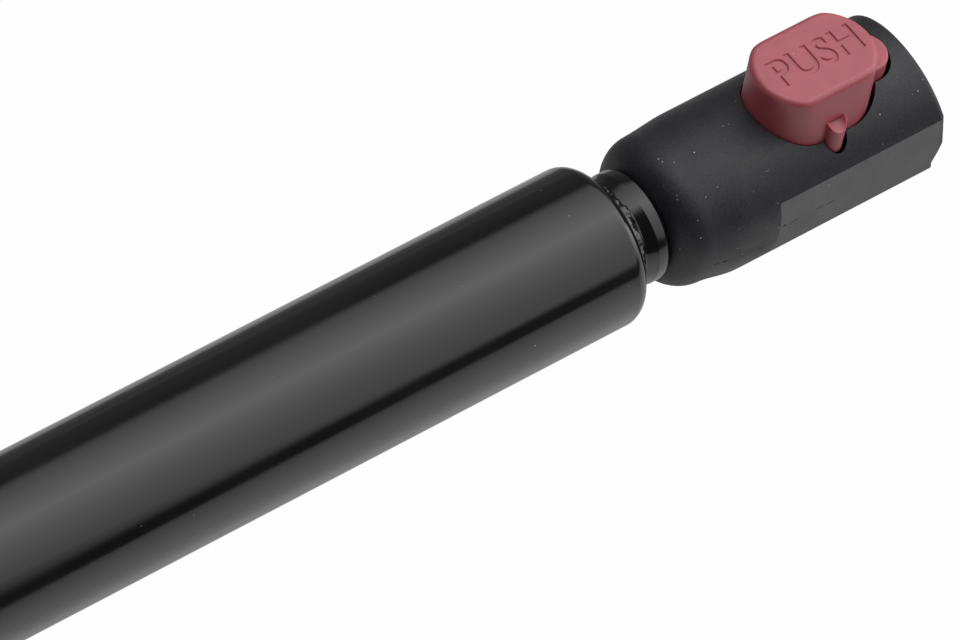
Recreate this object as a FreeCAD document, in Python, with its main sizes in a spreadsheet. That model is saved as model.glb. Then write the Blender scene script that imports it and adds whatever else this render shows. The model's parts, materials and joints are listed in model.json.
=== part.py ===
"""Hood gas strut: a pressure tube, its sliding rod and a quick-release ball socket at each end.

Millimetres. The origin is the centre of the ball that the tube-end socket holds. +X runs along the
strut from the tube to that socket's far end, so the rod end lies at -X. +Z is up, to the buttons.
"""
import FreeCAD, Part
import os
import re

import Sketcher
from FreeCAD import Placement, Rotation, Vector

doc = FreeCAD.newDocument("hood_gas_strut")

# Driving dimensions
SIZES = {
    "extended_length": 400.0,
    "stroke_length": 150.0,
    "dead_length": 48.5,
    "tube_radius": 9.25,
    "tube_wall": 1.25,
    "tube_bottom": 2.2,
    "shoulder_radius": 1.9,
    "rim_radius": 1.2,
    "lip_thickness": 1.2,
    "lip_opening": 5.2,
    "groove_depth": 1.0,
    "groove_half": 1.2,
    "groove_floor_half": 0.4,
    "rod_radius": 4.0,
    "rod_fit": 0.05,
    "seal_fit": 0.02,
    "pack_clearance": 0.03,
    "wiper_length": 2.2,
    "guide_length": 12.0,
    "seal_length": 4.0,
    "washer_thickness": 1.5,
    "washer_hole": 4.3,
    "stop_length": 5.0,
    "stop_hole": 4.6,
    "journal_radius": 3.0,
    "journal_clearance": 0.02,
    "plate_radius": 6.8,
    "plate_thickness": 1.2,
    "piston_length": 8.0,
    "piston_clearance": 0.2,
    "orifice_radius": 0.6,
    "orifice_circle": 5.0,
    "rivet_radius": 4.2,
    "rivet_length": 1.5,
    "ring_length": 2.5,
    "ring_depth": 1.4,
    "ring_play": 0.05,
    "ring_gap": 0.03,
    "weld_neck_radius": 5.95,
    "weld_neck_length": 1.5,
    "bead_reach": 1.25,
    "bead_clearance": 0.02,
    "collar_radius": 6.45,
    "collar_slope": 1.2,
    "collar_reach": 4.6,
    "collar_edge": 0.45,
    "thread_length": 10.6,
    "thread_clearance": 0.05,
    "neck_start": 21.4,
    "neck_radius": 8.65,
    "neck_round": 3.8,
    "swell_start": 17.4,
    "swell_end": 13.0,
    "head_radius": 9.0,
    "parting_depth": 1.0,
    "far_top": 13.3,
    "far_reach": 15.1,
    "far_foot": 13.6,
    "far_edge": 0.7,
    "flat_half_width": 8.15,
    "flat_top": 5.0,
    "flat_start": 8.4,
    "block_start": 14.0,
    "block_round": 3.0,
    "block_corner": 8.0,
    "ball_radius": 5.0,
    "ball_clearance": 0.06,
    "seat_top": 1.8,
    "seat_bottom": 0.4,
    "cage_radius": 6.1,
    "cage_clearance": 0.1,
    "cage_shoulder": 3.0,
    "cage_taper_top": 5.6,
    "cage_taper_radius": 4.3,
    "cage_top": 6.2,
    "cage_top_radius": 3.6,
    "peg_radius": 1.8,
    "peg_top": 11.0,
    "peg_clearance": 0.03,
    "jaw_gap": 0.2,
    "jaw_bottom": 3.8,
    "jaw_throat": 0.45,
    "jaw_sweep": 76.0,
    "hinge_radius": 5.58,
    "barrel_radius": 0.4,
    "barrel_half_length": 1.2,
    "barrel_clearance": 0.05,
    "lip_top": 1.75,
    "lip_bottom": 2.35,
    "lip_radius": 4.75,
    "lead_in_radius": 5.5,
    "mouth_start": 2.6,
    "mouth_radius": 7.2,
    "press_travel": 4.0,
    "press_clearance": 0.5,
    "button_top": 14.4,
    "button_base": 6.5,
    "button_top_radius": 5.2,
    "button_base_radius": 5.45,
    "button_centres": 1.9,
    "button_offset": 0.42,
    "button_flat_top": 4.85,
    "button_flat_base": 5.86,
    "button_edge": 0.3,
    "button_wall": 1.5,
    "button_roof": 1.8,
    "boss_radius": 3.0,
    "slot_radius": 5.6,
    "slot_centres": 2.15,
    "slot_offset": 0.64,
    "tab_top": 10.3,
    "tab_half_width": 2.6,
    "tab_reach": 10.6,
    "tab_clearance": 0.3,
    "tab_gap": 0.55,
    "rib_radius": 1.15,
    "rib_top": 9.8,
    "rib_bottom": 5.6,
    "rib_reach": 6.65,
    "rib_clearance": 0.35,
    "notch_offset": 0.2,
    "cut_margin": 5.0,
}
JAWS = 4

sizes = doc.addObject("Spreadsheet::Sheet", "Sizes")
for row, (alias, amount) in enumerate(SIZES.items(), 1):
    sizes.set(f"A{row}", alias)
    sizes.set(f"B{row}", str(amount))
    sizes.setAlias(f"B{row}", alias)
doc.recompute()

parts = []


def cells(text):
    """The expression with each size's name written as its cell in the sheet."""
    return re.sub(r"[a-z_]+", lambda word: "Sizes." + word[0] if word[0] in SIZES else word[0], text)


def number(text):
    """What an expression of sizes comes to now."""
    return float(sizes.evalExpression(cells(text)))


def bind(thing, **sizes_of):
    """Tie properties of an object to expressions of sizes; two underscores stand for a dot."""
    for name, text in sizes_of.items():
        thing.setExpression(name.replace("__", "."), cells(text))
    return thing


# Places along the strut, as expressions of the driving dimensions
CLOSED_END = "-neck_start - collar_reach"
RIM = f"{CLOSED_END} - stroke_length - dead_length"
WIPER_AT = f"{RIM} + lip_thickness"
GUIDE_AT = f"{WIPER_AT} + wiper_length"
SEAL_AT = f"{GUIDE_AT} + guide_length"
WASHER_AT = f"{SEAL_AT} + seal_length"
GROOVE_AT = f"{WASHER_AT} + washer_thickness + groove_half"
STOP_AT = f"{GROOVE_AT} + groove_half"
FRONT_PLATE_AT = f"{STOP_AT} + stop_length"
PISTON_AT = f"{FRONT_PLATE_AT} + plate_thickness"
REAR_PLATE_AT = f"{PISTON_AT} + piston_length"
RIVET_AT = f"{REAR_PLATE_AT} + plate_thickness"
RING_AT = f"{PISTON_AT} + piston_length / 2 - ring_length / 2"
BORE = "(tube_radius - tube_wall)"
SEAT = "(ball_radius + ball_clearance)"


def plane(body, role):
    """One of a body's own origin planes."""
    return next(feature for feature in body.Origin.OriginFeatures if feature.Role == role)


def outline(body, name, role, corners):
    """A closed outline of straight edges on an origin plane, each corner held by two sizes."""
    sketch = body.newObject("Sketcher::SketchObject", name)
    sketch.AttachmentSupport = [(plane(body, role), "")]
    sketch.MapMode = "FlatFace"
    points = [Vector(number(across), number(up), 0) for across, up in corners]
    for index, point in enumerate(points):
        following = points[(index + 1) % len(points)]
        sketch.addGeometry(Part.LineSegment(point, following), False)
    for index, point in enumerate(points):
        sketch.addConstraint(Sketcher.Constraint("Coincident", index, 2, (index + 1) % len(points), 1))
    for index, point in enumerate(points):
        for kind, text, value, axis in (
            ("DistanceX", corners[index][0], point.x, -2),
            ("DistanceY", corners[index][1], point.y, -1),
        ):
            if text == "0":
                sketch.addConstraint(Sketcher.Constraint("PointOnObject", index, 1, axis))
            else:
                held = sketch.addConstraint(Sketcher.Constraint(kind, -1, 1, index, 1, value))
                sketch.setExpression(f"Constraints[{held}]", cells(text))
    return sketch


def turned(name, corners, axis="H_Axis", sweep="360"):
    """A body turned from an outline in the XZ plane, about X (H_Axis) or Z (V_Axis)."""
    body = doc.addObject("PartDesign::Body", name)
    sketch = outline(body, name + "_profile", "XZ_Plane", corners)
    turn = body.newObject("PartDesign::Revolution", name + "_turn")
    turn.Profile = sketch
    turn.ReferenceAxis = (sketch, [axis])
    turn.Midplane = True
    bind(turn, Angle=sweep)
    sketch.Visibility = False
    doc.recompute()
    return body


def ring_edges(shape, along, radius, tolerance=0.001):
    """The names of the edges that circle the X axis at one place with one radius."""
    return [
        f"Edge{index}"
        for index, edge in enumerate(shape.Edges, 1)
        if isinstance(edge.Curve, Part.Circle)
        and abs(edge.Curve.Center.x - along) < tolerance
        and abs(edge.Curve.Radius - radius) < tolerance
    ]


def round_rings(body, name, rings, radius):
    """Round the circular edges of a turned body at the places and radii listed."""
    sharp = body.Tip
    edges = []
    for along, size in rings:
        edges += ring_edges(sharp.Shape, number(along), number(size))
    rounding = body.newObject("PartDesign::Fillet", name)
    rounding.Base = (sharp, edges)
    bind(rounding, Radius=radius)
    doc.recompute()
    return rounding


def ring(name, start, length, outer, inner):
    """A plain ring on the strut's axis."""
    end = f"{start} + {length}"
    return turned(name, [(start, inner), (start, outer), (end, outer), (end, inner)])


def cylinder(name, radius, height, **place):
    return bind(doc.addObject("Part::Cylinder", name), Radius=radius, Height=height, **place)


def cone(name, lower, upper, height, **place):
    return bind(doc.addObject("Part::Cone", name), Radius1=lower, Radius2=upper, Height=height, **place)


def box(name, long, wide, high, **place):
    return bind(doc.addObject("Part::Box", name), Length=long, Width=wide, Height=high, **place)


def along(axis):
    """The turn that lays an upright primitive along another axis."""
    return Rotation(Vector(0, 0, 1), axis)


def fused(name, shapes):
    union = doc.addObject("Part::MultiFuse", name)
    union.Shapes = shapes
    return union


def cut(name, base, tool):
    difference = doc.addObject("Part::Cut", name)
    difference.Base = base
    difference.Tool = tool
    return difference


def common(name, base, tool):
    shared = doc.addObject("Part::Common", name)
    shared.Base = base
    shared.Tool = tool
    return shared


def slab(name, corners, width):
    """A body of even width across Y, padded from an outline in the XZ plane."""
    body = doc.addObject("PartDesign::Body", name)
    sketch = outline(body, name + "_profile", "XZ_Plane", corners)
    pad = body.newObject("PartDesign::Pad", name + "_pad")
    pad.Profile = sketch
    pad.Midplane = True
    bind(pad, Length=width)
    sketch.Visibility = False
    return body


def rounded_edges(name, base, radius, chosen):
    """Round the edges whose middle and bounding box pass a test."""
    doc.recompute()
    size = number(radius)
    rounding = doc.addObject("Part::Fillet", name)
    rounding.Base = base
    rounding.Edges = [
        (index, size, size)
        for index, edge in enumerate(base.Shape.Edges, 1)
        if chosen(edge.CenterOfMass, edge.BoundBox)
    ]
    return rounding


def keep(thing, label):
    """Name a finished sub-part: its label is also its file's name."""
    thing.Label = label
    parts.append(thing)
    return thing


# Pressure tube: spun closed at the stud, with a rolled groove and a rolled-in rim at the rod
def make_tube():
    slope = "groove_half - groove_floor_half"
    rim_inside = f"{RIM} + lip_thickness"
    body = turned(
        "pressure_tube",
        [
            (CLOSED_END, "0"),
            (CLOSED_END, "tube_radius"),
            (f"{GROOVE_AT} + groove_half", "tube_radius"),
            (f"{GROOVE_AT} + groove_half - ({slope})", "tube_radius - groove_depth"),
            (f"{GROOVE_AT} - groove_half + ({slope})", "tube_radius - groove_depth"),
            (f"{GROOVE_AT} - groove_half", "tube_radius"),
            (RIM, "tube_radius"),
            (RIM, "lip_opening"),
            (rim_inside, "lip_opening"),
            (rim_inside, BORE),
            (f"{GROOVE_AT} - groove_half", BORE),
            (f"{GROOVE_AT} - groove_half + ({slope})", f"{BORE} - groove_depth"),
            (f"{GROOVE_AT} + groove_half - ({slope})", f"{BORE} - groove_depth"),
            (f"{GROOVE_AT} + groove_half", BORE),
            (f"{CLOSED_END} - tube_bottom", BORE),
            (f"{CLOSED_END} - tube_bottom", "0"),
        ],
    )
    round_rings(body, "tube_shoulder", [(CLOSED_END, "tube_radius")], "shoulder_radius")
    round_rings(body, "tube_rim", [(RIM, "tube_radius")], "rim_radius")
    return keep(body, "pressure_tube")


# End stud: weld neck, bevelled collar and threaded end in one turned piece
def make_stud():
    collar_end = f"{CLOSED_END} + collar_reach"
    neck_end = f"{CLOSED_END} + weld_neck_length"
    body = turned(
        "end_stud",
        [
            (CLOSED_END, "0"),
            (CLOSED_END, "weld_neck_radius"),
            (neck_end, "weld_neck_radius"),
            (f"{neck_end} + collar_slope", "collar_radius"),
            (collar_end, "collar_radius"),
            (collar_end, "rod_radius"),
            (f"{collar_end} + thread_length", "rod_radius"),
            (f"{collar_end} + thread_length", "0"),
        ],
    )
    round_rings(body, "collar_rounding", [(collar_end, "collar_radius")], "collar_edge")
    return keep(body, "end_stud")


# Weld bead in the corner between the tube's end and the stud's neck
def make_bead():
    inner = "weld_neck_radius + bead_clearance"
    half = "bead_reach * 0.7"
    return keep(
        turned(
            "weld_bead",
            [
                (CLOSED_END, inner),
                (CLOSED_END, f"{inner} + bead_reach"),
                (f"{CLOSED_END} + {half}", f"{inner} + {half}"),
                (f"{CLOSED_END} + bead_reach", inner),
            ],
        ),
        "weld_bead",
    )


# What the rolled groove and the rim hold in the tube's open end
def make_guide_pack():
    outer = f"{BORE} - pack_clearance"
    keep(ring("rod_wiper", WIPER_AT, "wiper_length", outer, "rod_radius + rod_fit"), "rod_wiper")
    keep(ring("rod_guide", GUIDE_AT, "guide_length", outer, "rod_radius + rod_fit"), "rod_guide")
    keep(ring("main_seal", SEAL_AT, "seal_length", outer, "rod_radius + seal_fit"), "main_seal")
    keep(ring("seal_washer", WASHER_AT, "washer_thickness", outer, "washer_hole"), "seal_washer")
    keep(ring("rebound_stop", STOP_AT, "stop_length", outer, "stop_hole"), "rebound_stop")


# Piston rod with its journal and riveted inner end
def make_rod():
    outer_end = "-extended_length + neck_start - thread_length"
    return keep(
        turned(
            "piston_rod",
            [
                (outer_end, "0"),
                (outer_end, "rod_radius"),
                (FRONT_PLATE_AT, "rod_radius"),
                (FRONT_PLATE_AT, "journal_radius"),
                (RIVET_AT, "journal_radius"),
                (RIVET_AT, "rivet_radius"),
                (f"{RIVET_AT} + rivet_length", "rivet_radius"),
                (f"{RIVET_AT} + rivet_length", "0"),
            ],
        ),
        "piston_rod",
    )


# Piston, its two plates and the ring in its groove
def make_piston():
    hole = "journal_radius + journal_clearance"
    face = f"{BORE} - piston_clearance"
    groove = f"{BORE} - ring_gap - ring_depth - ring_play"
    blank = turned(
        "piston_blank",
        [
            (PISTON_AT, hole),
            (PISTON_AT, face),
            (f"{RING_AT} - ring_play", face),
            (f"{RING_AT} - ring_play", groove),
            (f"{RING_AT} + ring_length + ring_play", groove),
            (f"{RING_AT} + ring_length + ring_play", face),
            (REAR_PLATE_AT, face),
            (REAR_PLATE_AT, hole),
        ],
    )
    orifice = cylinder("orifice_tool", "orifice_radius", "piston_length + 2")
    orifice.Placement = Placement(Vector(), along(Vector(1, 0, 0)))
    bind(orifice, Placement__Base__x=f"{PISTON_AT} - 1", Placement__Base__z="orifice_circle")
    keep(cut("piston", blank, orifice), "piston")
    keep(ring("front_plate", FRONT_PLATE_AT, "plate_thickness", "plate_radius", hole), "front_plate")
    keep(ring("rear_plate", REAR_PLATE_AT, "plate_thickness", "plate_radius", hole), "rear_plate")
    outer = f"{BORE} - ring_gap"
    keep(ring("piston_ring", RING_AT, "ring_length", outer, f"{outer} - ring_depth"), "piston_ring")


def place_fitting(thing, end, turn=0.0):
    """Set a fitting's piece, made about the ball's centre, at the tube end or at the rod end."""
    spin = turn + (180.0 if end == "rod_end" else 0.0)
    thing.Placement = Placement(Vector(), Rotation(Vector(0, 0, 1), spin))
    if end == "rod_end":
        bind(thing, Placement__Base__x="-extended_length")


def rounded_slot(name, radius, centres, floor, top, offset="0"):
    """An upright block with two round ends, from floor to top, centred at offset along X."""
    height = f"{top} - ({floor})"
    middle = box(
        name + "_middle",
        f"2 * ({centres})",
        f"2 * ({radius})",
        height,
        Placement__Base__x=f"{offset} - ({centres})",
        Placement__Base__y=f"-({radius})",
        Placement__Base__z=floor,
    )
    ends = [
        cylinder(
            f"{name}_end_{side}",
            radius,
            height,
            Placement__Base__x=f"{offset} {sign} ({centres})",
            Placement__Base__z=floor,
        )
        for side, sign in (("near", "-"), ("far", "+"))
    ]
    return fused(name, [middle] + ends)


# Housing of one end fitting
def far_cutter(end):
    """What lies beyond the far end, whose two halves are drafted away from the parting line."""
    rake = "(far_reach - far_top) / (head_radius + parting_depth)"
    foot = "(far_reach - far_foot) / (head_radius - parting_depth)"
    beyond = "far_reach + cut_margin"
    return slab(
        f"{end}_far_tool",
        [
            (f"far_top - {rake} * cut_margin", "head_radius + cut_margin"),
            ("far_reach", "-parting_depth"),
            (f"far_foot - {foot} * cut_margin", "-head_radius - cut_margin"),
            (beyond, "-head_radius - cut_margin"),
            (beyond, "head_radius + cut_margin"),
        ],
        "4 * cut_margin",
    )


def flat_cutter(end, side, start):
    """What lies outside one flat."""
    return box(
        f"{end}_flat_{side}",
        "flat_start + far_reach + cut_margin",
        "cut_margin",
        "head_radius + flat_top + cut_margin",
        Placement__Base__x="-flat_start",
        Placement__Base__y=start,
        Placement__Base__z="-head_radius - cut_margin",
    )


def housing_form(end):
    """The outside: a turned neck and crown over the block that holds the ball."""
    body = turned(
        f"{end}_housing_form",
        [
            ("-neck_start", "0"),
            ("-neck_start", "neck_radius"),
            ("-swell_start", "neck_radius"),
            ("-swell_end", "head_radius"),
            ("far_reach", "head_radius"),
            ("far_reach", "0"),
        ],
    )
    round_rings(body, f"{end}_neck_round", [("-neck_start", "neck_radius")], "neck_round")
    block = box(
        f"{end}_block",
        "far_reach + block_start",
        "2 * head_radius",
        "head_radius",
        Placement__Base__x="-block_start",
        Placement__Base__y="-head_radius",
        Placement__Base__z="-head_radius",
    )
    wide = number("head_radius")
    near = -number("block_start")
    keel = rounded_edges(
        f"{end}_block_rounded",
        block,
        "block_corner",
        lambda middle, bounds: abs(middle.z + wide) < 0.001 and abs(abs(middle.y) - wide) < 0.001,
    )
    lower = rounded_edges(
        f"{end}_block_blank",
        keel,
        "block_round",
        lambda middle, bounds: bounds.XMax < near + 0.001 and middle.z < -0.001,
    )
    blank = fused(f"{end}_housing_blank", [body, lower])
    outside = [
        far_cutter(end),
        flat_cutter(end, "left", "-flat_half_width - cut_margin"),
        flat_cutter(end, "right", "flat_half_width"),
    ]
    shaped = cut(f"{end}_housing_shaped", blank, fused(f"{end}_outside_tools", outside))
    shaped.Refine = True
    parting = -number("parting_depth")
    far = number("far_top") - 0.4
    return rounded_edges(
        f"{end}_housing_rounded",
        shaped,
        "far_edge",
        lambda middle, bounds: bounds.XMin > far and abs(middle.z - parting) > 0.001,
    )


def housing_tools(end):
    """Everything cut from the inside: stud hole, cage bore, mouth and the button's slot."""
    tools = []
    stud_hole = cylinder(
        f"{end}_stud_hole", "rod_radius + thread_clearance", "thread_length + thread_clearance + cut_margin"
    )
    stud_hole.Placement = Placement(Vector(), along(Vector(1, 0, 0)))
    bind(stud_hole, Placement__Base__x="-neck_start - cut_margin")
    tools.append(stud_hole)
    bore = "cage_radius + cage_clearance"
    tools.append(
        cylinder(
            f"{end}_cage_bore",
            bore,
            "head_radius + cut_margin + cage_shoulder + cage_clearance",
            Placement__Base__z="-head_radius - cut_margin",
        )
    )
    tools.append(
        cone(
            f"{end}_cage_shoulder",
            bore,
            "cage_taper_radius + cage_clearance",
            "cage_taper_top - cage_shoulder",
            Placement__Base__z="cage_shoulder + cage_clearance",
        )
    )
    mouth_slope = f"(mouth_radius - ({bore})) / (head_radius - mouth_start)"
    tools.append(
        cone(
            f"{end}_mouth",
            f"mouth_radius + {mouth_slope} * cut_margin",
            bore,
            "head_radius - mouth_start + cut_margin",
            Placement__Base__z="-head_radius - cut_margin",
        )
    )
    slot_floor = "button_base - press_travel - press_clearance"
    slot_top = "button_top + cut_margin"
    tools.append(
        rounded_slot(f"{end}_slot", "slot_radius", "slot_centres", slot_floor, slot_top, "slot_offset")
    )
    notch_half = "(tab_half_width + tab_clearance)"
    notch_end = f"(tab_reach + tab_gap - {notch_half})"
    tools.append(
        box(
            f"{end}_tab_notch",
            notch_end,
            f"2 * {notch_half}",
            f"{slot_top} - ({slot_floor})",
            Placement__Base__y=f"-{notch_half}",
            Placement__Base__z=slot_floor,
        )
    )
    tools.append(
        cylinder(
            f"{end}_tab_notch_end",
            notch_half,
            f"{slot_top} - ({slot_floor})",
            Placement__Base__x=notch_end,
            Placement__Base__z=slot_floor,
        )
    )
    rib_floor = "rib_bottom - press_travel - rib_clearance"
    for side, sign in (("left", "-"), ("right", "")):
        tools.append(
            cylinder(
                f"{end}_rib_notch_{side}",
                "rib_radius + rib_clearance",
                f"{slot_top} - ({rib_floor})",
                Placement__Base__x="notch_offset",
                Placement__Base__y=f"{sign}(rib_reach - rib_radius)",
                Placement__Base__z=rib_floor,
            )
        )
    return fused(f"{end}_housing_tools", tools)


def make_housing(end):
    housing = cut(f"{end}_housing", housing_form(end), housing_tools(end))
    place_fitting(housing, end)
    return keep(housing, f"{end}_housing")


# Release button: a drafted cap with a latch tab, two guide ribs and a socket for the cage's peg
def button_blank(end):
    ends = [
        cone(
            f"{end}_button_{side}",
            "button_base_radius",
            "button_top_radius",
            "button_top - button_base",
            Placement__Base__x=f"button_offset {sign} button_centres",
            Placement__Base__z="button_base",
        )
        for side, sign in (("near", "-"), ("far", "+"))
    ]
    ends[1].Placement.Rotation = Rotation(Vector(0, 0, 1), 180)
    height = "button_top - button_base"
    middle = doc.addObject("Part::Wedge", f"{end}_button_middle")
    cap = doc.addObject("Part::Wedge", f"{end}_button_flats")
    upright = Rotation(Vector(1, 0, 0), 90)
    for wedge, half_length, base, top in (
        (middle, "button_centres", "button_base_radius", "button_top_radius"),
        (cap, "(button_centres + 2 * button_base_radius)", "button_flat_base", "button_flat_top"),
    ):
        wedge.Placement = Placement(Vector(), upright)
        bind(
            wedge,
            Xmin=f"-{half_length}",
            Xmax=half_length,
            X2min=f"-{half_length}",
            X2max=half_length,
            Ymin="0",
            Ymax=height,
            Zmin=f"-{base}",
            Zmax=base,
            Z2min=f"-{top}",
            Z2max=top,
            Placement__Base__x="button_offset",
            Placement__Base__z="button_base",
        )
    return common(f"{end}_button_blank", fused(f"{end}_button_stadium", ends + [middle]), cap)


def make_button(end):
    top = number("button_top")
    rounded = rounded_edges(
        f"{end}_button_rounded",
        button_blank(end),
        "button_edge",
        lambda middle, bounds: abs(bounds.ZMin - top) < 0.001,
    )
    tab_centre = "(tab_reach - tab_half_width)"
    pieces = [
        rounded,
        box(
            f"{end}_tab",
            f"{tab_centre} - button_centres",
            "2 * tab_half_width",
            "tab_top - button_base",
            Placement__Base__x="button_centres",
            Placement__Base__y="-tab_half_width",
            Placement__Base__z="button_base",
        ),
        cylinder(
            f"{end}_tab_end",
            "tab_half_width",
            "tab_top - button_base",
            Placement__Base__x=tab_centre,
            Placement__Base__z="button_base",
        ),
    ]
    for side, sign in (("left", "-"), ("right", "")):
        pieces.append(
            cylinder(
                f"{end}_rib_{side}",
                "rib_radius",
                "rib_top - rib_bottom",
                Placement__Base__y=f"{sign}(rib_reach - rib_radius)",
                Placement__Base__z="rib_bottom",
            )
        )
    hollow = rounded_slot(
        f"{end}_button_hollow",
        "button_top_radius - button_wall",
        "button_centres",
        "rib_bottom",
        "button_top - button_roof",
        "button_offset",
    )
    boss = cylinder(
        f"{end}_button_boss", "boss_radius", "button_top - cage_top", Placement__Base__z="cage_top"
    )
    core = cylinder(
        f"{end}_peg_socket",
        "peg_radius + peg_clearance",
        "peg_top + peg_clearance - rib_bottom",
        Placement__Base__z="rib_bottom",
    )
    shell = cut(f"{end}_button_shell", fused(f"{end}_button_solid", pieces), hollow)
    button = cut(f"{end}_button", fused(f"{end}_button_bossed", [shell, boss]), core)
    place_fitting(button, end)
    return keep(button, f"{end}_button")


# Each jaw hinges on a barrel that lies in a groove of the crown above it
def hinge_barrel(name, clearance, turn=0.0):
    """A barrel across the jaw's middle, level with the crown's lower face, about the jaw's hinge axis."""
    half = f"(barrel_half_length + {clearance})"
    barrel = cylinder(name, f"barrel_radius + {clearance}", f"2 * {half}")
    barrel.Placement = Placement(Vector(), Rotation(Vector(0, 0, 1), turn) * along(Vector(0, 1, 0)))
    return bind(
        barrel,
        Placement__Base__x=f"hinge_radius * cos({turn}) + {half} * sin({turn})",
        Placement__Base__y=f"hinge_radius * sin({turn}) - {half} * cos({turn})",
        Placement__Base__z="-seat_bottom",
    )


# Ball cage: the crown that bears on the ball, with the peg that carries the button
def make_cage(end):
    form = turned(
        f"{end}_cage_form",
        [
            ("0", "-seat_bottom"),
            ("cage_radius", "-seat_bottom"),
            ("cage_radius", "cage_shoulder"),
            ("cage_taper_radius", "cage_taper_top"),
            ("cage_top_radius", "cage_top"),
            ("peg_radius", "cage_top"),
            ("peg_radius", "peg_top"),
            ("0", "peg_top"),
        ],
        "V_Axis",
    )
    dome = bind(doc.addObject("Part::Sphere", f"{end}_dome"), Radius=SEAT)
    seat = cylinder(
        f"{end}_seat",
        SEAT,
        "seat_top + seat_bottom + cut_margin",
        Placement__Base__z="-seat_bottom - cut_margin",
    )
    grooves = [
        hinge_barrel(f"{end}_hinge_groove_{count + 1}", "barrel_clearance", (count + 0.5) * 360.0 / JAWS)
        for count in range(JAWS)
    ]
    cage = cut(f"{end}_cage", form, fused(f"{end}_ball_space", [dome, seat] + grooves))
    place_fitting(cage, end)
    return keep(cage, f"{end}_cage")


# Jaws: four equal sectors below the crown, whose lips close under the ball
def make_jaws(end):
    for count in range(JAWS):
        sector = turned(
            f"{end}_sector_{count + 1}",
            [
                (f"{SEAT} + jaw_throat", "-seat_bottom - jaw_gap"),
                ("cage_radius", "-seat_bottom - jaw_gap"),
                ("cage_radius", "-jaw_bottom"),
                ("lead_in_radius", "-jaw_bottom"),
                ("lip_radius", "-lip_bottom"),
                ("lip_radius", "-lip_top"),
            ],
            "V_Axis",
            "jaw_sweep",
        )
        barrel = hinge_barrel(f"{end}_barrel_{count + 1}", "0")
        jaw = fused(f"{end}_jaw_{count + 1}", [sector, barrel])
        place_fitting(jaw, end, (count + 0.5) * 360.0 / JAWS)
        keep(jaw, f"{end}_jaw_{count + 1}")


make_tube()
make_stud()
make_bead()
make_guide_pack()
make_rod()
make_piston()
for end in ("tube_end", "rod_end"):
    make_housing(end)
    make_button(end)
    make_cage(end)
    make_jaws(end)
doc.recompute()

for thing in doc.Objects:
    bad = [word for word in thing.State if word in ("Invalid", "Error")]
    if bad:
        raise RuntimeError(f"{thing.Label} is {bad}")

for thing in parts:
    if thing.Shape.isNull() or not thing.Shape.isValid():
        raise RuntimeError(f"{thing.Label} has no valid shape")

os.makedirs("parts", exist_ok=True)
for thing in parts:
    thing.Shape.exportStep(os.path.join("parts", thing.Label + ".step"))
    print(thing.Label, len(thing.Shape.Solids), round(thing.Shape.Volume, 1))
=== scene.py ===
"""Finishes of a hood gas strut: painted tube, dark rod and a quick-release ball socket at each end.

Sizes here are millimetres times MM, so that every mesh is in metres. +X runs along the strut from the tube
to the tube end's socket, +Z is up to the push buttons, and the origin is the ball centre of that socket.
"""
import json
import math
from functools import cache

import bmesh
import bpy
from bpy.props import FloatProperty, FloatVectorProperty, PointerProperty
from bpy.types import Operator, Panel, PropertyGroup
from mathutils import Matrix, Vector, noise


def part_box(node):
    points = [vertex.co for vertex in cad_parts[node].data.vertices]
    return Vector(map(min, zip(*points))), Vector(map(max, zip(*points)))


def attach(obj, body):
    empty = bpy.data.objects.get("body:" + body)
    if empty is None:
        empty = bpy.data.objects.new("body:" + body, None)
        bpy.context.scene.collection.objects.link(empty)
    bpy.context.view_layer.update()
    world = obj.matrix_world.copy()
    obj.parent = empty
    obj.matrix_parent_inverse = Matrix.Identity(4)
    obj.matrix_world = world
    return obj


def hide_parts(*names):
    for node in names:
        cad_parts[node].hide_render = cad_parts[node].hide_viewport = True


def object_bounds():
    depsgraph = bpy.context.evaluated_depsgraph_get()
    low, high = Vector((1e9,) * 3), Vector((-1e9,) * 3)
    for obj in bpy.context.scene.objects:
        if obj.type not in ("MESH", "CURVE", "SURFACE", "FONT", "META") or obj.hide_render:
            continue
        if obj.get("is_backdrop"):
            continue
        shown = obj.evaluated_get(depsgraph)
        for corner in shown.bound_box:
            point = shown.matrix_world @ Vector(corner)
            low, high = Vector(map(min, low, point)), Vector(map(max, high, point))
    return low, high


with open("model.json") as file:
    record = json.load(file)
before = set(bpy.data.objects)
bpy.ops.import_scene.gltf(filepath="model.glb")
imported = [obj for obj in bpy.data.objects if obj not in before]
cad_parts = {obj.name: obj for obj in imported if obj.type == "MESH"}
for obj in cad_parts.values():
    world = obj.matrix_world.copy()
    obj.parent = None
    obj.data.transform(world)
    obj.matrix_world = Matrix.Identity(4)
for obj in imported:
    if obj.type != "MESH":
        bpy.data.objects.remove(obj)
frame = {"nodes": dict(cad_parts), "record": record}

bl_info = {
    "name": "Hood gas strut",
    "version": (1, 0, 0),
    "blender": (4, 5, 0),
    "location": "3D View > Sidebar > Strut",
    "description": "Builds the painted, moulded and turned pieces of a hood gas strut around its frame",
    "category": "Object",
}

MM = 0.001
CAD_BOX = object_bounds()
ENDS = ("tube_end", "rod_end")
JAWS = 4

# Points closer than MERGE are one point, and a place is met when it is closer than NEAR.
MERGE = 0.0005 * MM
NEAR = 0.02 * MM
SMOOTH_BELOW = math.radians(32.0)
TURN_STEPS = 160
ROUND_STEP = math.radians(7.5)

# Nearly all of a noise pattern lies in this range.
SPREAD = {"From Min": 0.3, "From Max": 0.7}


def span(node):
    """Where a node starts and ends along the strut, and how far it reaches from the axis."""
    low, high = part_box(node)
    return low.x, high.x, high.y


def linear(hex_colour):
    """An sRGB hex colour as the linear RGBA that shaders take."""
    channels = [int(hex_colour[i:i + 2], 16) / 255.0 for i in (0, 2, 4)]
    return tuple(c / 12.92 if c <= 0.04045 else ((c + 0.055) / 1.055) ** 2.4 for c in channels) + (1.0,)


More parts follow.
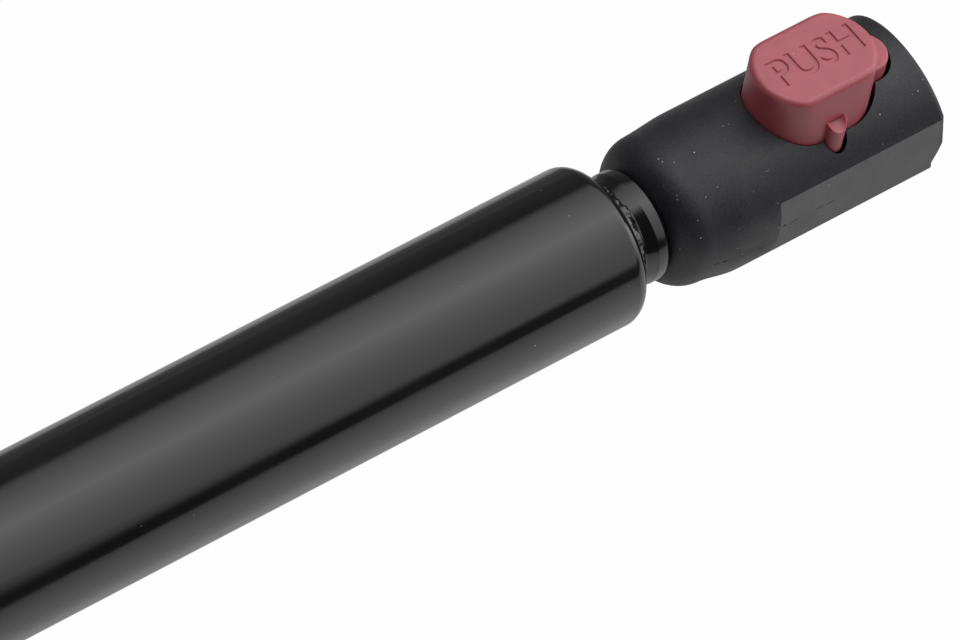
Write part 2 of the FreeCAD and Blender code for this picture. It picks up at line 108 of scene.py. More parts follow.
TUBE_RIM, TUBE_END, TUBE_RADIUS = span("pressure_tube")
COLLAR_START, STUD_END, COLLAR_RADIUS = span("end_stud")
ROD_OUTER, ROD_INNER, RIVET_RADIUS = span("piston_rod")
SOCKET_START, SOCKET_END, SOCKET_RADIUS = span("tube_end_housing")
PLATE_FACE = span("front_plate")[0]
RIVET_FACE = span("rear_plate")[1]
STOP_FACE = span("rebound_stop")[0]
BORE_RADIUS = span("piston_ring")[2] + 0.03 * MM
BUTTON_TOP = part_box("tube_end_button")[1].z
BALL = {end: sum(span(end + "_cage")[:2]) / 2 for end in ENDS}

# A fitting is made about its ball's centre: the flats of its socket, and its button's ribs and oval cap.
FLAT_OUT = 8.15 * MM
FLAT_START = -8.4 * MM
RIB_OUT = 5.5 * MM
CAP_CENTRE = 0.42 * MM
CAP_HALF = 1.9 * MM
# A cutting shape reaches this far past the surface that it cuts.
PAST = 5 * MM


class StrutSizes(PropertyGroup):
    """Sizes of the dressed pieces and of the stage"""

    shoulder: FloatProperty(
        name="Tube shoulder", description="Radius of the tube's closed end", default=1.9 * MM, unit="LENGTH"
    )
    rim: FloatProperty(
        name="Tube rim", description="Radius of the tube's rolled rim", default=1.2 * MM, unit="LENGTH"
    )
    groove: FloatProperty(
        name="Groove depth", description="Depth of the rolled groove", default=1.0 * MM, unit="LENGTH"
    )
    bead_lumps: FloatProperty(
        name="Bead lumps", description="How far the bead's lumps stand out", default=0.3 * MM, unit="LENGTH"
    )
    far_edge: FloatProperty(
        name="Socket edge", description="Rounding round a socket's far end", default=0.7 * MM, unit="LENGTH"
    )
    button_edge: FloatProperty(
        name="Button edge", description="Rounding round a button's top", default=0.7 * MM, unit="LENGTH"
    )
    letters: FloatProperty(
        name="Letter height", description="Height of the word's letters", default=3.75 * MM, unit="LENGTH"
    )
    word_length: FloatProperty(
        name="Word length", description="Length of the engraved word", default=11.1 * MM, unit="LENGTH"
    )
    engraving: FloatProperty(
        name="Engraving depth", description="Depth of the engraved word", default=0.18 * MM, unit="LENGTH"
    )
    floor_drop: FloatProperty(
        name="Floor drop", description="From the strut down to the table", default=70 * MM, unit="LENGTH"
    )


class StrutColours(PropertyGroup):
    """Colours of the dressed pieces"""

    paint: FloatVectorProperty(
        name="Paint", description="Stoved paint", subtype="COLOR", size=4, default=linear("070708")
    )
    nylon: FloatVectorProperty(
        name="Nylon", description="Moulded sockets", subtype="COLOR", size=4, default=linear("0f0f13")
    )
    button: FloatVectorProperty(
        name="Button", description="Moulded push buttons", subtype="COLOR", size=4, default=linear("98434d")
    )
    dust: FloatVectorProperty(
        name="Dust", description="Dust and lint", subtype="COLOR", size=4, default=linear("b9b8b4")
    )


def add(tree, kind, settings=None):
    """Add a shader node with its settings: its attributes, and its inputs by name or by number.

    An input takes a plain value, a socket, or a node, which feeds it from its first output in use.
    """
    made = tree.nodes.new("ShaderNode" + kind)
    for name, value in (settings or {}).items():
        inputs = {inlet.name: inlet for inlet in made.inputs if inlet.enabled}
        inputs.update(enumerate(made.inputs))
        if isinstance(value, bpy.types.Node):
            value = next(outlet for outlet in value.outputs if outlet.enabled)
        if name not in inputs:
            setattr(made, name, value)
        elif isinstance(value, bpy.types.NodeSocket):
            tree.links.new(value, inputs[name])
        else:
            inputs[name].default_value = value
    return made


@cache
def finish(maker):
    """The material that a maker's nodes give, named after the maker and made once."""
    material = bpy.data.materials.new(maker.__name__)
    material.use_nodes = True
    tree = material.node_tree
    tree.nodes.clear()
    at = add(tree, "TexCoord").outputs["Object"]
    add(tree, "OutputMaterial", {"Surface": maker(tree, at)})
    return material


def mottled(tree, pattern, between, first, second, strongest=1.0):
    """A colour that goes over to another one where a pattern rises between two values."""
    low, high = between
    share = add(tree, "MapRange", {"Value": pattern, "From Min": low, "From Max": high, "To Max": strongest})
    return add(tree, "Mix", {"data_type": "RGBA", "Factor": share, "A": first, "B": second})


def specks(tree, at, spacing, size, share):
    """A mask of round specks, one to a cell of the spacing, strong in few cells and absent past a share."""
    cells = add(tree, "TexVoronoi", {"Vector": at, "Scale": 1 / spacing})
    edge, core = size / spacing, 0.4 * size / spacing
    near = add(tree, "MapRange", {"Value": cells.outputs["Distance"], "From Min": edge, "From Max": core})
    tone = add(tree, "SeparateColor", {"Color": cells.outputs["Color"]})
    kept = add(tree, "MapRange", {"Value": tone, "From Min": share, "From Max": 0.0})
    return add(tree, "Math", {"operation": "MULTIPLY", 0: near, 1: kept})


def traced(tree, value, points):
    """A value read off straight lines through (value, result) points."""
    start, stop = points[0][0], points[-1][0]
    peak = max(result for _, result in points)
    share = add(tree, "MapRange", {"Value": value, "From Min": start, "From Max": stop})
    made = add(tree, "FloatCurve", {"Value": share})
    line = made.mapping.curves[0]
    line.points[0].location = (0.0, points[0][1] / peak)
    line.points[1].location = (1.0, points[-1][1] / peak)
    for place, result in points[1:-1]:
        line.points.new((place - start) / (stop - start), result / peak)
    for point in line.points:
        point.handle_type = "VECTOR"
    made.mapping.update()
    return add(tree, "Math", {"operation": "MULTIPLY", 0: made, 1: peak})


def rays(tree):
    """Two masks: rays from the camera, and rays that were mirrored or went through glass."""
    path = add(tree, "LightPath").outputs
    mirrored = {"operation": "MAXIMUM", 0: path["Is Glossy Ray"], 1: path["Is Transmission Ray"]}
    return path["Is Camera Ray"], add(tree, "Math", mirrored)


def gloss_black_stoved_enamel(tree, at):
    """Black stoved enamel over drawn steel: a deep mirror, softened by orange peel 2.2 mm across."""
    colours = bpy.context.scene.strut_colours
    dust = specks(tree, at, spacing=3 * MM, size=0.11 * MM, share=0.3)
    drawn = add(tree, "Mapping", {"Vector": at, "Scale": (0.4, 1, 1)})
    cloud = add(tree, "TexNoise", {"Vector": drawn, "Scale": 1 / (5 * MM), "Detail": 3})
    tint = mottled(tree, cloud, (0.35, 0.65), colours.paint, linear("0b0b0d"))
    peel = add(tree, "TexNoise", {"Vector": at, "Scale": 1 / (2.2 * MM), "Detail": 1})
    peeled = add(tree, "Bump", {"Height": peel, "Distance": 0.002 * MM})
    looks = {
        "Base Color": add(tree, "Mix", {"data_type": "RGBA", "Factor": dust, "A": tint, "B": colours.dust}),
        "Roughness": add(tree, "MapRange", {**SPREAD, "Value": cloud, "To Min": 0.1, "To Max": 0.16}),
        "Normal": add(tree, "Bump", {"Height": dust, "Distance": 0.02 * MM, "Normal": peeled}),
        "IOR": 1.48,
    }
    return add(tree, "BsdfPrincipled", looks)


def moulded_nylon(tree, at, light, smooth, rough):
    """Charcoal nylon with dust on it, and a fine grain that is drawn coarser than the real one, to show."""
    colours = bpy.context.scene.strut_colours
    fine = add(tree, "TexNoise", {"Vector": at, "Scale": 1 / (0.26 * MM), "Detail": 4, "Roughness": 0.65})
    cloud = add(tree, "TexNoise", {"Vector": at, "Scale": 1 / (4 * MM), "Detail": 3})
    strands = add(tree, "Mapping", {"Vector": at, "Scale": (0.15, 1.2, 1)})
    lint = specks(tree, strands, spacing=1.7 * MM, size=0.08 * MM, share=0.4)
    motes = specks(tree, at, spacing=0.9 * MM, size=0.09 * MM, share=0.4)
    dust = add(tree, "Math", {"operation": "MAXIMUM", 0: lint, 1: motes})
    base = mottled(tree, fine, (0.35, 0.7), colours.nylon, linear(light))
    veil = mottled(tree, cloud, (0.4, 0.75), base, linear("25252b"), strongest=0.35)
    looks = {
        "Base Color": add(tree, "Mix", {"data_type": "RGBA", "Factor": dust, "A": veil, "B": colours.dust}),
        "Roughness": add(tree, "MapRange", {**SPREAD, "Value": cloud, "To Min": smooth, "To Max": rough}),
        "Normal": add(tree, "Bump", {"Height": fine, "Distance": 0.02 * MM}),
        "IOR": 1.53,
        "Specular IOR Level": 0.35,
    }
    return add(tree, "BsdfPrincipled", looks)


def glass_filled_nylon(tree, at):
    """Moulded glass-filled nylon: matte charcoal, where the glass dulls every highlight."""
    return moulded_nylon(tree, at, "242429", smooth=0.46, rough=0.58)


def glass_filled_nylon_flat_painted_sheen(tree, at):
    """The same nylon on the flats: a smoother finish, and a lighter grain tone that is painted sheen."""
    return moulded_nylon(tree, at, "29292e", smooth=0.32, rough=0.4)


def satin_red_acetal(tree, at):
    """Moulded red acetal: satin, slightly translucent, with faint draw lines down its walls."""
    colours = bpy.context.scene.strut_colours
    cloud = add(tree, "TexNoise", {"Vector": at, "Scale": 1 / (2.5 * MM), "Detail": 4, "Roughness": 0.6})
    tint = mottled(tree, cloud, (0.35, 0.7), colours.button, linear("a14b54"))
    dust = specks(tree, at, spacing=1.5 * MM, size=0.09 * MM, share=0.4)
    fine = add(tree, "TexNoise", {"Vector": at, "Scale": 1 / (0.14 * MM)})
    grained = add(tree, "Bump", {"Height": fine, "Distance": 0.003 * MM})
    upright = add(tree, "Mapping", {"Vector": at, "Scale": (1, 1, 0.12)})
    drawn = add(tree, "TexNoise", {"Vector": upright, "Scale": 1 / (0.35 * MM)})
    looks = {
        "Base Color": add(tree, "Mix", {"data_type": "RGBA", "Factor": dust, "A": tint, "B": colours.dust}),
        "Roughness": add(tree, "MapRange", {**SPREAD, "Value": cloud, "To Min": 0.42, "To Max": 0.52}),
        "Normal": add(tree, "Bump", {"Height": drawn, "Distance": 0.004 * MM, "Normal": grained}),
        "IOR": 1.48,
        "Specular IOR Level": 0.7,
        "Subsurface Weight": 0.6,
        "Subsurface Radius": (1.0, 0.3, 0.25),
        "Subsurface Scale": 0.8 * MM,
    }
    return add(tree, "BsdfPrincipled", looks)


def turned_metal(tree, at, dark, light, smooth, rough, pitch, depth):
    """Metal turned or ground on a lathe: rings about a pitch apart, with a slight change of tone."""
    around = add(tree, "Mapping", {"Vector": at, "Scale": (1, 0.03, 0.03)})
    rings = add(tree, "TexNoise", {"Vector": around, "Scale": 1 / pitch})
    cloud = add(tree, "TexNoise", {"Vector": at, "Scale": 1 / (6 * MM)})
    looks = {
        "Base Color": mottled(tree, rings, SPREAD.values(), linear(dark), linear(light)),
        "Metallic": 1.0,
        "Roughness": add(tree, "MapRange", {**SPREAD, "Value": cloud, "To Min": smooth, "To Max": rough}),
        "Normal": add(tree, "Bump", {"Height": rings, "Distance": depth}),
    }
    return add(tree, "BsdfPrincipled", looks)


def ground_nitrided_steel(tree, at):
    """Ground and nitrided rod: dark satin steel; the real grinding marks are finer than drawn here."""
    return turned_metal(
        tree, at, "343538", "45464a", smooth=0.2, rough=0.3, pitch=0.2 * MM, depth=0.0003 * MM
    )


def stamped_steel(tree, at):
    """Plain stamped steel plates: bright grey with a light turned face."""
    return turned_metal(
        tree, at, "8c8e90", "a3a5a7", smooth=0.32, rough=0.45, pitch=0.3 * MM, depth=0.003 * MM
    )


def turned_aluminium(tree, at):
    """Turned aluminium piston: pale grey with tool marks 0.25 mm apart."""
    return turned_metal(
        tree, at, "c0c2c4", "d3d4d5", smooth=0.28, rough=0.4, pitch=0.25 * MM, depth=0.004 * MM
    )


def plain_moulding(tree, at, dark, light, smooth, rough, size, depth=0.005 * MM, ior=1.5):
    """A plain plastic or rubber with a fine mottle."""
    mottle = add(tree, "TexNoise", {"Vector": at, "Scale": 1 / size, "Detail": 3})
    looks = {
        "Base Color": mottled(tree, mottle, (0.35, 0.7), linear(dark), linear(light)),
        "Roughness": add(tree, "MapRange", {**SPREAD, "Value": mottle, "To Min": smooth, "To Max": rough}),
        "Normal": add(tree, "Bump", {"Height": mottle, "Distance": depth}),
        "IOR": ior,
    }
    return add(tree, "BsdfPrincipled", looks)


def moulded_black_nylon(tree, at):
    """Moulded cage and jaws of unfilled nylon: smoother and a little glossier than the sockets."""
    return plain_moulding(
        tree, at, "1b1c1d", "252628", smooth=0.34, rough=0.44, size=0.3 * MM, depth=0.004 * MM, ior=1.53
    )


def natural_acetal(tree, at):
    """Natural acetal guide: off-white and waxy."""
    return plain_moulding(tree, at, "d6d3c8", "e2dfd5", smooth=0.36, rough=0.48, size=0.5 * MM)


def nitrile_rubber(tree, at):
    """Moulded nitrile rubber: dull black with a soft bloom."""
    return plain_moulding(tree, at, "161616", "212121", smooth=0.6, rough=0.75, size=0.25 * MM)


def bronze_filled_ptfe(tree, at):
    """Bronze-filled PTFE ring: waxy brown."""
    return plain_moulding(tree, at, "86705a", "978067", smooth=0.4, rough=0.5, size=0.2 * MM)


def pale_table(tree, at):
    """A pale matte top, white to the camera, that keeps a soft shadow; in reflections it glows with a
    painted pool of light in front of the strut and a painted shadow under and behind it.
    """
    cloud = add(tree, "TexNoise", {"Vector": at, "Scale": 1 / (40 * MM)})
    pale = mottled(tree, cloud, SPREAD.values(), linear("bababa"), linear("bebebe"))
    matte = add(tree, "BsdfDiffuse", {"Color": pale})
    depth = add(tree, "SeparateXYZ", {"Vector": at}).outputs["Y"]
    # How bright the table glows in reflections, from its front edge to its back one: a painted pool of light
    # in front of the strut and a painted shadow under and behind it.
    mirrored_light_and_shadow = [
        (-560 * MM, 0.8),
        (-448 * MM, 0.84),
        (-117 * MM, 1.2),
        (-49 * MM, 1.0),
        (-23 * MM, 0.85),
        (0, 0.5),
        (190 * MM, 0.64),
    ]
    seen, mirrored = rays(tree)
    level = {"data_type": "FLOAT", "Factor": mirrored, "A": 1.0, "B": traced(tree, depth, mirrored_light_and_shadow)}
    glow = add(tree, "Emission", {"Strength": add(tree, "Mix", level)})
    whitened = 0.97
    shown = add(tree, "Math", {"operation": "MULTIPLY", 0: seen, 1: whitened})
    share = add(tree, "Math", {"operation": "MAXIMUM", 0: shown, 1: mirrored})
    return add(tree, "MixShader", {0: share, 1: matte, 2: glow})


FINISHES = {
    "black_paint": gloss_black_stoved_enamel,
    "black_nylon": glass_filled_nylon,
    "red_acetal": satin_red_acetal,
    "nitrided_steel": ground_nitrided_steel,
    "plain_steel": stamped_steel,
    "piston_aluminium": turned_aluminium,
    "guide_acetal": natural_acetal,
    "nitrile_rubber": nitrile_rubber,
    "ptfe": bronze_filled_ptfe,
}


def settle(piece, node, slot, maker=None):
    """Let a piece stand for a CAD node and ride its body, in its slot's finish or in another maker's."""
    piece.data.materials.clear()
    piece.data.materials.append(finish(maker or FINISHES[slot]))
    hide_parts(node)
    bodies = frame["record"]["behaviour"]["bodies"]
    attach(piece, next(body for body, held in bodies.items() if node in held))


def as_piece(form, name):
    """A finished bmesh as an object at the origin, smooth except at its sharp edges."""
    mesh = bpy.data.meshes.new(name)
    form.to_mesh(mesh)
    form.free()
    mesh.shade_smooth()
    mesh.set_sharp_from_angle(angle=SMOOTH_BELOW)
    piece = bpy.data.objects.new(name, mesh)
    bpy.context.scene.collection.objects.link(piece)
    return piece


def form_of(mesh, merge=MERGE):
    """A mesh as a bmesh, with the points that lie together joined."""
    form = bmesh.new()
    form.from_mesh(mesh)
    bmesh.ops.remove_doubles(form, verts=form.verts, dist=merge)
    return form


def turned_form(corners, steps=TURN_STEPS):
    """Turn an outline of (along, radius, rounding) corners about the strut's axis."""
    form = bmesh.new()
    points = [form.verts.new((along, 0.0, radius)) for along, radius, _ in corners]
    for first, second in zip(points, points[1:]):
        form.edges.new((first, second))
    if corners[0][1] or corners[-1][1]:
        form.edges.new((points[-1], points[0]))
    places = [Vector(corner[:2]) for corner in corners]
    for index, (_, _, rounding) in enumerate(corners):
        if rounding:
            before = places[index - 1] - places[index]
            after = places[(index + 1) % len(places)] - places[index]
            between = before.angle(after)
            bmesh.ops.bevel(
                form,
                geom=[points[index]],
                affect="VERTICES",
                offset=rounding / math.tan(between / 2),
                segments=max(2, round((math.pi - between) / ROUND_STEP)),
                profile=0.5,
                material=-1,
            )
    bmesh.ops.spin(
        form,
        geom=form.verts[:] + form.edges[:],
        cent=(0, 0, 0),
        axis=(1, 0, 0),
        angle=math.tau,
        steps=steps,
        use_merge=True,
    )
    bmesh.ops.remove_doubles(form, verts=form.verts, dist=MERGE)
    bmesh.ops.recalc_face_normals(form, faces=form.faces)
    return form


def lofted(loops):
    """A solid through loops with as many points each: walls from loop to loop, and a face on each end."""
    form = bmesh.new()
    rings = [[form.verts.new(point) for point in loop] for loop in loops]
    for lower, upper in zip(rings, rings[1:]):
        for index, corner in enumerate(lower):
            after = (index + 1) % len(lower)
            form.faces.new((corner, lower[after], upper[after], upper[index]))
    form.faces.new(rings[0])
    form.faces.new(rings[-1])
    bmesh.ops.remove_doubles(form, verts=form.verts, dist=MERGE)
    bmesh.ops.recalc_face_normals(form, faces=form.faces)
    return form


def stacked(levels):
    """A solid through flat outlines at rising heights."""
    return lofted([[(x, y, height) for x, y in points] for points, height in levels])


def column(points, low, high):
    """An upright solid of one outline."""
    return stacked([(points, low), (points, high)])


def prism(corners, low, high):
    """A solid of even width across Y, from an outline of (along, up) corners."""
    return lofted([[(x, y, z) for x, z in corners] for y in (low, high)])


def oval(radius, half=0.0, centre=0.0, flat=math.inf):
    """Points round two half circles, half each side of a centre, eased into a flat on each side."""
    blend, steps = 0.5 * MM, 40
    points = []
    for middle, start in ((centre + half, -0.5), (centre - half, 0.5)):
        for step in range(steps + 1):
            angle = math.pi * (start + step / steps)
            across = abs(radius * math.sin(angle))
            past = min(max(across - flat + blend, 0.0), 2 * blend)
            across = min(across, flat + blend) - past * past / (4 * blend)
            points.append((middle + radius * math.cos(angle), math.copysign(across, math.sin(angle))))
    return points


def rounded_top(outline, low, high, edge):
    """Levels of a wall whose top edge is rounded; outline takes a height and an inset."""
    wall_steps, edge_steps = 8, 6
    heights = [low + (high - edge - low) * step / wall_steps for step in range(wall_steps + 1)]
    levels = [(outline(height, 0.0), height) for height in heights]
    for step in range(1, edge_steps + 1):
        angle = math.pi / 2 * step / edge_steps
        height = high - edge + edge * math.sin(angle)
        levels.append((outline(height, edge * (1 - math.cos(angle))), height))
    return levels


def gathered(forms):
    """Several separate shapes as one bmesh."""
    whole = bmesh.new()
    for form in forms:
        mesh = bpy.data.meshes.new("shape")
        form.to_mesh(mesh)
        form.free()
        whole.from_mesh(mesh)
        bpy.data.meshes.remove(mesh)
    return whole


def apply_modifiers(piece):
    """Make a piece's modifiers part of its mesh."""
    scene_graph = bpy.context.evaluated_depsgraph_get()
    shape = bpy.data.meshes.new_from_object(piece.evaluated_get(scene_graph))
    piece.modifiers.clear()
    spent = piece.data
    piece.data = shape
    bpy.data.meshes.remove(spent)


def combine(piece, form, operation):
    """Add a shape to a piece (UNION) or cut it away (DIFFERENCE)."""
    tool = as_piece(form, "tool")
    change = piece.modifiers.new("change", "BOOLEAN")
    change.operation = operation
    change.solver = "EXACT"
    change.object = tool
    apply_modifiers(piece)
    bpy.data.meshes.remove(tool.data)


def smooth_out(piece, angle=SMOOTH_BELOW):
    """Shade a cut piece smooth between its sharp edges, led by its larger faces."""
    form = form_of(piece.data)
    bmesh.ops.dissolve_degenerate(form, edges=form.edges, dist=MERGE)
    form.to_mesh(piece.data)
    form.free()
    piece.data.shade_smooth()
    piece.data.set_sharp_from_angle(angle=angle)
    weighted = piece.modifiers.new("weighted", "WEIGHTED_NORMAL")
    weighted.keep_sharp = True
    apply_modifiers(piece)


def at_end(piece, end, name):
    """A piece made about the ball's centre, set at one end of the strut; the rod end's is turned about."""
    copy = piece.copy()
    copy.data = piece.data.copy()
    copy.name = copy.data.name = name
    bpy.context.scene.collection.objects.link(copy)
    turn = Matrix.Rotation(math.pi if end == "rod_end" else 0.0, 4, "Z")
    copy.data.transform(Matrix.Translation((BALL[end], 0, 0)) @ turn)
    return copy


class STRUT_OT_tube(Operator):
    """Build the painted tube with its shoulder, rolled groove and rolled rim"""

    bl_idname = "strut.tube"
    bl_label = "Tube"

    def execute(self, context):
        sizes = context.scene.strut_sizes
        lip, opening, bottom = 1.2 * MM, 5.2 * MM, 2.2 * MM
        slope, groove_floor = 0.8 * MM, 0.8 * MM
        bend, mouth_edge, lip_edge = 0.6 * MM, 0.4 * MM, 0.3 * MM
        far = STOP_FACE - slope
        near = far - groove_floor
        outside, inside = TUBE_RADIUS, BORE_RADIUS
        corners = [
            (TUBE_END, 0, 0),
            (TUBE_END, outside, sizes.shoulder),
            (far + slope, outside, bend),
            (far, outside - sizes.groove, bend),
            (near, outside - sizes.groove, bend),
            (near - slope, outside, bend),
            (TUBE_RIM, outside, sizes.rim),
            (TUBE_RIM, opening, mouth_edge),
            (TUBE_RIM + lip, opening, lip_edge),
            (TUBE_RIM + lip, inside, 0),
            (near - slope, inside, 0),
            (near, inside - sizes.groove, 0),
            (far, inside - sizes.groove, 0),
            (far + slope, inside, 0),
            (TUBE_END - bottom, inside, 0),
            (TUBE_END - bottom, 0, 0),
        ]
        settle(as_piece(turned_form(corners), "painted_tube"), "pressure_tube", "black_paint")
        return {"FINISHED"}


class STRUT_OT_stud(Operator):
    """Build the end stud with its weld neck, bevelled collar and screwed end"""

    bl_idname = "strut.stud"
    bl_label = "Collar stud"

    def execute(self, context):
        neck, neck_end, slope = 5.95 * MM, COLLAR_START + 1.8 * MM, 1.2 * MM
        thread, collar_end = 4.0 * MM, STUD_END - 10.6 * MM
        corners = [
            (COLLAR_START, 0, 0),
            (COLLAR_START, neck, 0),
            (neck_end, neck, 0.2 * MM),
            (neck_end + slope, COLLAR_RADIUS, 0.3 * MM),
            (collar_end, COLLAR_RADIUS, 0.55 * MM),
            (collar_end, thread, 0),
            (STUD_END, thread, 0.5 * MM),
            (STUD_END, 0, 0),
        ]
        settle(as_piece(turned_form(corners), "collar_stud"), "end_stud", "black_paint")
        return {"FINISHED"}


class STRUT_OT_bead(Operator):
    """Build the lumpy weld bead between the tube and its stud"""

    bl_idname = "strut.bead"
    bl_label = "Weld bead"

    def execute(self, context):
        lumps = context.scene.strut_sizes.bead_lumps
        inner, reach, steps = 5.97 * MM, 1.25 * MM, 240
        belly = 0.7 * reach
        lump_size, finer, finer_share = 1.5 * MM, 2.7, 0.4
        overrun, hollow = 1.4, -0.2
        corners = [
            (TUBE_END, inner, 0),
            (TUBE_END, inner + reach, 0),
            (TUBE_END + belly, inner + belly, 0.6 * MM),
            (TUBE_END + reach, inner, 0),
        ]
        form = turned_form(corners, steps)
        bmesh.ops.subdivide_edges(form, edges=form.edges, cuts=1, use_grid_fill=True)
        for point in form.verts:
            outward = Vector((0.0, point.co.y, point.co.z))
            depth = (outward.length - inner) / reach + (point.co.x - TUBE_END) / reach
            if outward.length > inner + NEAR and point.co.x > TUBE_END + NEAR:
                place = Vector((0.5 * point.co.x, point.co.y, point.co.z)) / lump_size
                push = noise.noise(place) + finer_share * noise.noise(place * finer)
                run = Vector((1.0 + overrun * max(push, hollow), 0, 0))
                point.co += (outward.normalized() * push + run) * lumps * min(1.0, depth)
        settle(as_piece(form, "weld_ring"), "weld_bead", "black_paint")
        return {"FINISHED"}


class STRUT_OT_rod(Operator):
    """Build the piston rod with its journal and riveted inner end"""

    bl_idname = "strut.rod"
    bl_label = "Piston rod"

    def execute(self, context):
        rod, journal = 4.0 * MM, 3.0 * MM
        corners = [
            (ROD_OUTER, 0, 0),
            (ROD_OUTER, rod, 0.6 * MM),
            (PLATE_FACE, rod, 0.2 * MM),
            (PLATE_FACE, journal, 0),
            (RIVET_FACE, journal, 0),
            (RIVET_FACE, RIVET_RADIUS, 0),
            (ROD_INNER, RIVET_RADIUS, 0.7 * MM),
            (ROD_INNER, 0, 0),
        ]
        settle(as_piece(turned_form(corners), "ground_rod"), "piston_rod", "nitrided_steel")
        return {"FINISHED"}


class STRUT_OT_inner(Operator):
    """Dress the seals, the guide, the piston and its plates, which the tube hides"""

    bl_idname = "strut.inner"
    bl_label = "Inner pieces"

    def execute(self, context):
        slots = {
            "rod_wiper": "nitrile_rubber",
            "rod_guide": "guide_acetal",
            "main_seal": "nitrile_rubber",
            "seal_washer": "plain_steel",
            "rebound_stop": "nitrile_rubber",
            "piston": "piston_aluminium",
            "front_plate": "plain_steel",
            "rear_plate": "plain_steel",
            "piston_ring": "ptfe",
        }
        for node, slot in slots.items():
            piece = as_piece(form_of(frame["nodes"][node].data), node + "_finished")
            bevel = piece.modifiers.new("broken_edges", "BEVEL")
            bevel.width = 0.15 * MM
            bevel.segments = 2
            bevel.limit_method = "ANGLE"
            bevel.angle_limit = math.radians(50.0)
            bevel.use_clamp_overlap = True
            bevel.harden_normals = True
            settle(piece, node, slot)
        return {"FINISHED"}


class STRUT_OT_sockets(Operator):
    """Build the two moulded sockets, with torn flash along their parting line"""

    bl_idname = "strut.sockets"
    bl_label = "Sockets"

    def section(self, along, mouth_edge):
        """The outline across a socket at one place: round above, squarer below past the neck."""
        neck, neck_end, crown_ease, square_ease = 8.65 * MM, -18.0 * MM, 5.8 * MM, 5.0 * MM
        rise = min(max((along - neck_end) / crown_ease, 0.0), 1.0)
        radius = neck + (SOCKET_RADIUS - neck) * rise * rise * (3 - 2 * rise)
        short = SOCKET_START + mouth_edge - along
        if short > 0:
            radius -= mouth_edge - math.sqrt(max(mouth_edge**2 - short**2, 0.0))
        square = min(max((along - neck_end) / square_ease, 0.0), 1.0)
        inset = MM * square * square * (3 - 2 * square)
        points = []
        for step in range(TURN_STEPS):
            angle = math.tau * step / TURN_STEPS
            across, up = math.cos(angle), math.sin(angle)
            if up < 0:
                corner = math.copysign(inset, across)
                points.append((along, across * (radius - inset) + corner, up * (radius - inset) - inset))
            else:
                points.append((along, across * radius, up * radius))
        return points

    def outside(self, sizes):
        """The neck and crown over a squarer lower half, with flats and a drafted far end."""
        mouth_edge, mouth_steps, blend_step, blend_steps = 3.8 * MM, 12, 0.4 * MM, 15
        mouth_end = SOCKET_START + mouth_edge
        places = [mouth_end - mouth_edge * math.cos(ROUND_STEP * step) for step in range(mouth_steps)]
        places += [mouth_end + blend_step * step for step in range(blend_steps)] + [SOCKET_END + MM]
        piece = as_piece(lofted([self.section(along, mouth_edge) for along in places]), "socket")
        top_end, knee = 13.3 * MM, -1.0 * MM
        top, bottom, far = SOCKET_RADIUS + PAST, -SOCKET_RADIUS - PAST, SOCKET_END + PAST
        rake = (SOCKET_END - top_end) / (SOCKET_RADIUS - knee)
        end = [
            (top_end - rake * PAST, top),
            (SOCKET_END, knee),
            (14.75 * MM, -2.4 * MM),
            (14.3 * MM, -3.6 * MM),
            (13.85 * MM, -4.4 * MM),
            (13.55 * MM, -5.4 * MM),
            (13.45 * MM, -7.0 * MM),
            (13.4 * MM, bottom),
            (far, bottom),
            (far, top),
        ]
        combine(piece, prism(end, -2 * PAST, 2 * PAST), "DIFFERENCE")
        side = [(FLAT_START, PAST), (FLAT_START, bottom), (far, bottom), (far, PAST)]
        flats = [prism(side, -FLAT_OUT - PAST, -FLAT_OUT), prism(side, FLAT_OUT, FLAT_OUT + PAST)]
        combine(piece, gathered(flats), "DIFFERENCE")
        form = form_of(piece.data)
        ledge_edge, rim_start, rim_foot, sharp = 0.2 * MM, 12.9 * MM, -4.45 * MM, math.radians(40)
        ledge = [edge for edge in form.edges if all(abs(v.co.x - FLAT_START) < NEAR for v in edge.verts)]
        ledge = [edge for edge in ledge if max(abs(v.co.y) for v in edge.verts) > FLAT_OUT + NEAR]
        bmesh.ops.bevel(
            form, geom=ledge, affect="EDGES", offset=ledge_edge, segments=3, profile=0.5, material=-1
        )
        rim = [edge for edge in form.edges if all(v.co.x > rim_start for v in edge.verts)]
        rim = [edge for edge in rim if all(v.co.z > rim_foot for v in edge.verts)]
        rim = [edge for edge in rim if edge.is_manifold and edge.calc_face_angle() > sharp]
        bmesh.ops.bevel(
            form, geom=rim, affect="EDGES", offset=sizes.far_edge, segments=6, profile=0.5, material=-1
        )
        form.to_mesh(piece.data)
        form.free()
        return piece

    def openings(self):
        """Every opening cut into a socket, each reaching past the surface that it opens."""
        start, end, thread, thread_steps = SOCKET_START - PAST, -10.75 * MM, 4.05 * MM, 96
        screwed = [(start, 0, 0), (start, thread, 0), (end, thread, 0), (end, 0, 0)]
        mouth, bore, throat, bore_start = 7.2 * MM, 6.2 * MM, 4.4 * MM, -2.6 * MM
        taper = (mouth - bore) / (SOCKET_RADIUS + bore_start)
        ball_room = [
            (oval(mouth + taper * PAST), -SOCKET_RADIUS - PAST),
            (oval(bore), bore_start),
            (oval(bore), 3.1 * MM),
            (oval(throat), 5.7 * MM),
        ]
        cap_slot = oval(5.6 * MM, half=2.15 * MM, centre=0.64 * MM)
        tab_slot = oval(2.9 * MM, half=4.125 * MM, centre=4.125 * MM)
        rib_slot = oval(1.5 * MM, centre=0.2 * MM)
        top, slot_floor, rib_floor = BUTTON_TOP + PAST, 2.0 * MM, 1.25 * MM
        ribs = []
        for side in (-1, 1):
            rib = column(rib_slot, rib_floor, top)
            bmesh.ops.translate(rib, verts=rib.verts, vec=(0, side * RIB_OUT, 0))
            ribs.append(rib)
        return [
            turned_form(screwed, thread_steps),
            stacked(ball_room),
            column(cap_slot, slot_floor, top),
            column(tab_slot, slot_floor, top),
            gathered(ribs),
        ]

